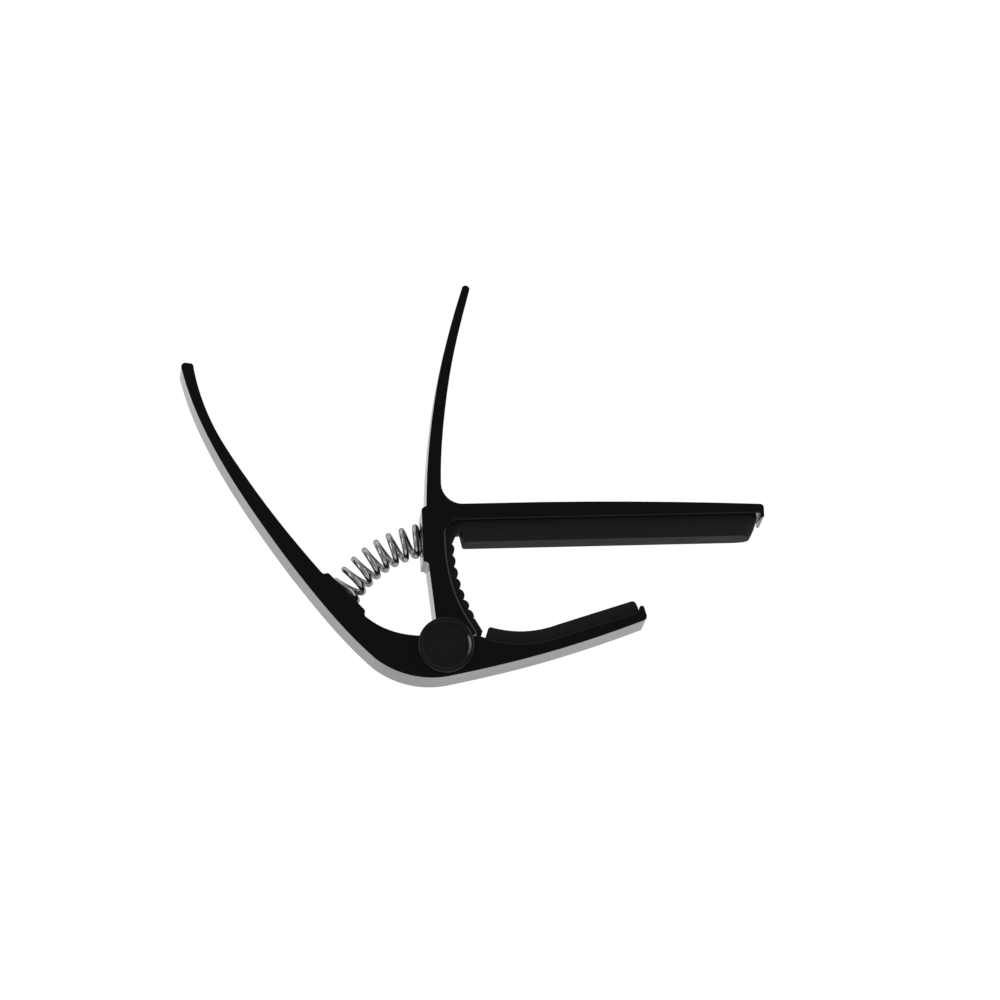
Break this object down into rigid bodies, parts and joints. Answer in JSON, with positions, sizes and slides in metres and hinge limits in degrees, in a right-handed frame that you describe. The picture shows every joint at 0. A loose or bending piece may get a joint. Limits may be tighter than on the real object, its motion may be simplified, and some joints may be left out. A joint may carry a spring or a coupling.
{
  "type": "guitar capo",
  "caption": "Spring-loaded trigger capo: a straight fret bar and a curved lower jaw, both rubber-lined, hinged under a round cap and closed by a curved coil spring between two squeeze handles.",
  "frame": {"origin": "on the hinge line, in the lower side face that the capo lies on", "axes": "+X along the fret bar towards its free end, +Y from the hinge towards the squeeze handles, +Z across the width of the arms, along the hinge pin"},
  "size_m": [0.1163, 0.08, 0.013],
  "materials": {
    "arm_paint": "black semi-gloss powder coat on cast aluminium",
    "silicone": "black moulded silicone, satin",
    "spring_steel": "polished spring wire",
    "pivot_steel": "turned steel",
    "bush_bronze": "sintered bronze",
    "washer_plastic": "black acetal",
    "cap_paint": "black satin",
    "cap_inlay": "plain satin black disc"
  },
  "bodies": {
    "fret_side": {"fret_arm": "arm_paint", "fret_pad": "silicone", "pivot_bush": "bush_bronze", "coil_spring": "spring_steel"},
    "jaw_side": {"jaw_arm": "arm_paint", "jaw_pad": "silicone", "pivot_barrel": "pivot_steel", "pivot_screw": "pivot_steel", "lock_washer": "pivot_steel", "thrust_washer_front": "washer_plastic", "thrust_washer_rear": "washer_plastic", "cap_bezel_front": "cap_paint", "cap_disc_front": "cap_inlay", "rear_cap": "cap_paint"}
  },
  "joints": [
    {"name": "jaw_pivot", "type": "hinge", "parent": "fret_side", "child": "jaw_side", "pos_m": [0, 0, 0], "axis": [0, 0, -1], "range_deg": [0, 20], "stiffness_Nm_per_rad": 2.4, "springref_deg": -14.32, "deforming": ["coil_spring"]}
  ]
}
